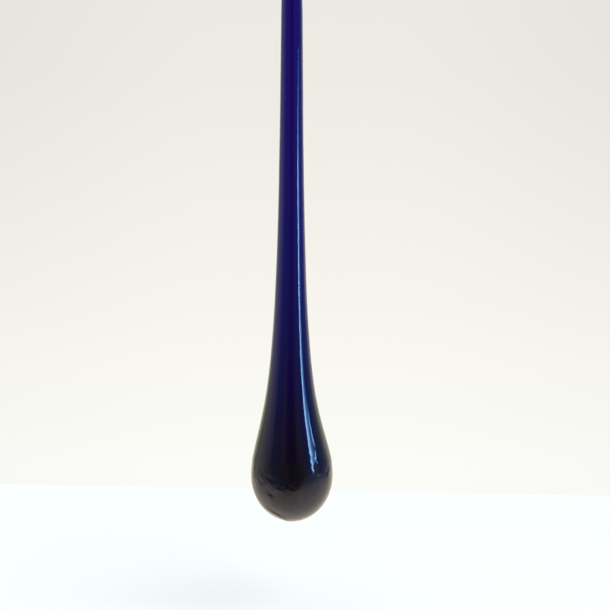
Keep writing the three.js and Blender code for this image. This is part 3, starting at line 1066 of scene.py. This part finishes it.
# the white table under the drop: how far below the level the mirrored table
# starts, by direction, and how it brightens below that line
START = [
    (-180, 0.0), (-138, 3.0), (-125, 3.0), (-115, 15.0), (-105, 18.0), (-95, 18.0), (-85, 8.0),
    (-75, 7.0), (-65, 10.5), (-55, 16.0), (-45, 16.5), (-35, 20.0), (-27, 26.0), (-15, 27.0),
    (5, 27.0), (15, 22.5), (25, 17.5), (35, 12.5), (45, 11.0), (55, 10.0), (65, 6.5),
    (75, 3.0), (115, 3.0), (135, 2.0), (180, 0.0),
]  # fmt: skip
start = ramp(wt, [((d + 180) / 360, (v / 90, v / 90, v / 90)) for d, v in START])
wl(turn, start.inputs["Fac"])
uneven = wt.nodes.new("ShaderNodeTexNoise")
uneven.inputs["Scale"].default_value = 3.4
uneven.inputs["Detail"].default_value = 3.0
uneven.inputs["Roughness"].default_value = 0.6
wl(tc.outputs["Generated"], uneven.inputs["Vector"])
under = math_node("SUBTRACT", math_node("MULTIPLY", el_deg, -1.0), math_node("MULTIPLY", start.outputs["Color"], 90.0))
under = math_node("ADD", under, math_node("MULTIPLY", math_node("SUBTRACT", uneven.outputs["Fac"], 0.5), 8.0))
# slowly in front, faster at the sides
TABLE_FRONT = [
    (-20, 0.0), (-12, 0.0), (-8, 0.02), (-4, 0.08), (0, 0.14), (4, 0.29), (8, 0.41), (12, 0.51),
    (16, 0.57), (20, 0.625), (25, 0.69), (31, 0.77), (39, 0.855), (54, 0.98), (70, 1.0),
]  # fmt: skip
TABLE_SIDE = [
    (-20, 0.0), (-3, 0.0), (0, 0.05), (2.5, 0.20), (6, 0.47), (10, 0.62), (14, 0.70),
    (18, 0.75), (22, 0.78), (30, 0.83), (40, 0.86), (50, 0.91), (60, 0.96), (70, 1.0),
]  # fmt: skip
depth = mapped(under, -20, 70, smooth=False)
tables = []
for stops in (TABLE_FRONT, TABLE_SIDE):
    one = ramp(wt, [((u + 20) / 90, grey(v)) for u, v in stops])
    wl(depth, one.inputs["Fac"])
    tables.append(one.outputs["Color"])
table = mix_colour(band(az_deg, -55, 82, 6), tables[1], tables[0])
LOW = [
    (-180, (1.10, 1.08, 0.90)), (-145, (1.04, 1.05, 0.80)), (-135, (0.95, 0.95, 0.66)),
    (-125, (0.62, 0.62, 0.40)), (-115, (0.72, 0.70, 0.56)), (-105, (0.74, 0.69, 0.68)),
    (-95, (0.72, 0.66, 0.64)), (-85, (0.58, 0.53, 0.45)), (-75, (0.44, 0.43, 0.27)),
    (-65, (0.20, 0.25, 0.19)), (-55, (0.15, 0.23, 0.22)), (-45, (0.15, 0.22, 0.19)),
    (-38, (0.15, 0.17, 0.09)), (-25, (0.17, 0.15, 0.04)), (-15, (0.19, 0.145, 0.02)),
    (-7, (0.13, 0.10, 0.0)), (5, (0.11, 0.10, 0.0)), (15, (0.135, 0.12, 0.03)),
    (25, (0.17, 0.16, 0.10)), (35, (0.20, 0.20, 0.21)), (45, (0.18, 0.23, 0.36)),
    (55, (0.18, 0.30, 0.65)), (66, (0.19, 0.31, 0.78)), (76, (0.21, 0.33, 0.70)),
    (85, (0.16, 0.21, 0.44)), (95, (0.18, 0.27, 0.54)), (105, (0.25, 0.31, 0.54)),
    (115, (0.40, 0.40, 0.48)), (125, (0.84, 0.83, 0.78)), (136, (1.05, 1.02, 0.88)),
    (147, (1.14, 1.10, 0.94)), (180, (1.10, 1.08, 0.90)),
]  # fmt: skip
low_room = ramp(wt, [((d + 180) / 360, c) for d, c in LOW])
wl(turn, low_room.inputs["Fac"])
around = mix_colour(mapped(el_deg, 14, 0), fold_mix.outputs[2], low_room.outputs["Color"])
LIT = [
    (-180, (1.60, 1.43, 1.18)), (-128, (1.60, 1.42, 1.18)), (-113, (1.55, 1.37, 1.11)),
    (-98, (1.49, 1.31, 1.06)), (-83, (1.42, 1.23, 0.98)), (-68, (1.39, 1.20, 0.95)),
    (-40, (1.35, 1.18, 0.92)), (-8, (1.33, 1.19, 0.96)), (25, (1.33, 1.19, 0.96)),
    (37, (1.35, 1.21, 0.99)), (52, (1.43, 1.25, 1.02)), (67, (1.47, 1.27, 1.06)),
    (82, (1.53, 1.33, 1.08)), (97, (1.60, 1.40, 1.16)), (127, (1.60, 1.43, 1.20)),
    (180, (1.60, 1.43, 1.18)),
]  # fmt: skip
lit_ramp = ramp(wt, [((d + 180) / 360, c) for d, c in LIT])
wl(turn, lit_ramp.inputs["Fac"])
lit = lit_ramp.outputs["Color"]
mirrored = mix_colour(table, around, lit)

path = wt.nodes.new("ShaderNodeLightPath")
colour = mix_colour(path.outputs["Is Glossy Ray"], (1.08, 1.08, 1.06), mirrored)
colour = mix_colour(path.outputs["Is Transmission Ray"], colour, (1.0, 0.98, 0.97))
colour = mix_colour(path.outputs["Is Camera Ray"], colour, seen)
bg = wt.nodes.new("ShaderNodeBackground")
wl(colour, bg.inputs["Color"])
wl(bg.outputs["Background"], w_out.inputs["Surface"])

key_data = bpy.data.lights.new("softbox", "AREA")
key_data.shape = "RECTANGLE"
key_data.size, key_data.size_y = 1.4, 1.0
key_data.energy = 9.0
key = bpy.data.objects.new("softbox", key_data)
key.location = (0.9, -0.7, 0.9)
key.rotation_euler = (
    (Vector((0, 0, -0.2)) - Vector(key.location)).to_track_quat("-Z", "Y").to_euler()
)
scene.collection.objects.link(key)
key.visible_glossy = False
key.visible_transmission = False
key.visible_camera = False

# A tall narrow window stands on the right, near enough that the top of the neck
# no longer mirrors it. It shows only in the glass and the steel.
WINDOW_AZ, WINDOW_D = math.radians(68), 0.6
WINDOW_W, WINDOW_H = 0.36, 0.50
strip_data = bpy.data.lights.new("window", "AREA")
strip_data.shape = "RECTANGLE"
strip_data.size, strip_data.size_y = WINDOW_W, WINDOW_H
strip_data.energy = 4.0 * WINDOW_W * WINDOW_H
strip = bpy.data.objects.new("window", strip_data)
strip.location = (
    WINDOW_D * math.sin(WINDOW_AZ), -WINDOW_D * math.cos(WINDOW_AZ), FOOT * MM + 0.13,
)  # fmt: skip
strip.rotation_euler = Vector(
    (-math.sin(WINDOW_AZ), math.cos(WINDOW_AZ), 0)
).to_track_quat("-Z", "Y").to_euler()
scene.collection.objects.link(strip)
strip.visible_camera = False
strip.visible_diffuse = False
strip.visible_transmission = False
strip.visible_volume_scatter = False
strip_data.use_nodes = True
st = strip_data.node_tree
st.nodes.clear()
s_out = st.nodes.new("ShaderNodeOutputLight")
s_em = st.nodes.new("ShaderNodeEmission")
st.links.new(s_em.outputs["Emission"], s_out.inputs["Surface"])
s_geo = st.nodes.new("ShaderNodeNewGeometry")
s_sep = st.nodes.new("ShaderNodeSeparateXYZ")
st.links.new(s_geo.outputs["Parametric"], s_sep.inputs["Vector"])


def across(deg):
    """Place across the strip, 0 to 1, of a direction from the drop."""
    return 0.5 + WINDOW_D * math.tan(math.radians(deg) - WINDOW_AZ) / WINDOW_W


pane = ramp(
    st,
    [
        (0.0, (0.0, 0.0, 0.0)),
        (across(55.3), (0.04, 0.12, 0.4)),
        (across(57.0), (0.5, 1.25, 2.9)),
        (across(58.0), (5.1, 9.4, 15.6)),
        (across(61.2), (5.3, 10.0, 15.6)),
        (across(62.6), (2.1, 4.7, 9.0)),
        (across(65.0), (1.0, 2.6, 5.8)),
        (across(68.0), (0.52, 1.55, 3.9)),
        (across(71.0), (0.38, 0.85, 2.4)),
        (across(76.0), (0.12, 0.32, 1.2)),
        (across(82.0), (0.0, 0.01, 0.05)),
        (1.0, (0.0, 0.0, 0.0)),
    ],
)
st.links.new(s_sep.outputs["X"], pane.inputs["Fac"])


def up(h):
    """Place up the strip, 0 to 1, of a height in metres over the drop's foot."""
    return 0.5 + (h - 0.13) / WINDOW_H


fade = ramp(
    st,
    [
        (0.0, (0.0, 0.0, 0.0)),
        (up(0.008), (0.0, 0.0, 0.0)),
        (up(0.027), (1.0, 1.0, 1.0)),
        (up(0.252), (1.0, 1.0, 1.0)),
        (up(0.278), (0.5, 0.5, 0.55)),
        (up(0.300), (0.13, 0.13, 0.20)),
        (up(0.330), (0.02, 0.02, 0.05)),
        (1.0, (0.0, 0.0, 0.0)),
    ],
)
# its foot rises to the right, where the sill and the blind hide it
s_past = st.nodes.new("ShaderNodeMath")
s_past.operation = "SUBTRACT"
s_past.use_clamp = True
s_past.inputs[1].default_value = across(59.0)
st.links.new(s_sep.outputs["X"], s_past.inputs[0])
s_foot = st.nodes.new("ShaderNodeMath")
s_foot.operation = "MULTIPLY_ADD"
s_foot.inputs[1].default_value = -0.72
st.links.new(s_past.outputs[0], s_foot.inputs[0])
st.links.new(s_sep.outputs["Y"], s_foot.inputs[2])
st.links.new(s_foot.outputs[0], fade.inputs["Fac"])
s_mix = st.nodes.new("ShaderNodeMix")
s_mix.data_type = "RGBA"
s_mix.blend_type = "MULTIPLY"
s_mix.inputs["Factor"].default_value = 1.0
st.links.new(pane.outputs["Color"], s_mix.inputs[6])
st.links.new(fade.outputs["Color"], s_mix.inputs[7])
st.links.new(s_mix.outputs[2], s_em.inputs["Color"])

# A dimmer strip light stands behind, for the sides that the lens doesn't see.
BACK_AZ, BACK_D = math.radians(180), 0.9
BACK_W, BACK_H = 0.09, 0.80
back_data = bpy.data.lights.new("back_strip", "AREA")
back_data.shape = "RECTANGLE"
back_data.size, back_data.size_y = BACK_W, BACK_H
back_data.energy = 4.0 * BACK_W * BACK_H
back = bpy.data.objects.new("back_strip", back_data)
back.location = (
    BACK_D * math.sin(BACK_AZ), -BACK_D * math.cos(BACK_AZ), FOOT * MM + 0.20,
)  # fmt: skip
back.rotation_euler = Vector(
    (-math.sin(BACK_AZ), math.cos(BACK_AZ), 0)
).to_track_quat("-Z", "Y").to_euler()
scene.collection.objects.link(back)
back.visible_camera = False
back.visible_diffuse = False
back.visible_transmission = False
back.visible_volume_scatter = False
back_data.use_nodes = True
bt = back_data.node_tree
bt.nodes.clear()
b_out = bt.nodes.new("ShaderNodeOutputLight")
b_em = bt.nodes.new("ShaderNodeEmission")
bt.links.new(b_em.outputs["Emission"], b_out.inputs["Surface"])
b_geo = bt.nodes.new("ShaderNodeNewGeometry")
b_sep = bt.nodes.new("ShaderNodeSeparateXYZ")
bt.links.new(b_geo.outputs["Parametric"], b_sep.inputs["Vector"])
b_wide = ramp(
    bt,
    [
        (0.0, (0.0, 0.0, 0.0)), (0.30, (3.6, 6.2, 9.4)), (0.60, (3.8, 6.4, 9.6)),
        (0.75, (1.0, 2.4, 5.0)), (1.0, (0.0, 0.0, 0.0)),
    ],
)  # fmt: skip
bt.links.new(b_sep.outputs["X"], b_wide.inputs["Fac"])
b_tall = ramp(bt, [(0.0, grey(0.0)), (0.10, grey(0.3)), (0.35, grey(1.0)), (0.85, grey(1.0)), (1.0, grey(0.0))])
bt.links.new(b_sep.outputs["Y"], b_tall.inputs["Fac"])
b_mix = bt.nodes.new("ShaderNodeMix")
b_mix.data_type = "RGBA"
b_mix.blend_type = "MULTIPLY"
b_mix.inputs["Factor"].default_value = 1.0
bt.links.new(b_wide.outputs["Color"], b_mix.inputs[6])
bt.links.new(b_tall.outputs["Color"], b_mix.inputs[7])
bt.links.new(b_mix.outputs[2], b_em.inputs["Color"])

lo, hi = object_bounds()
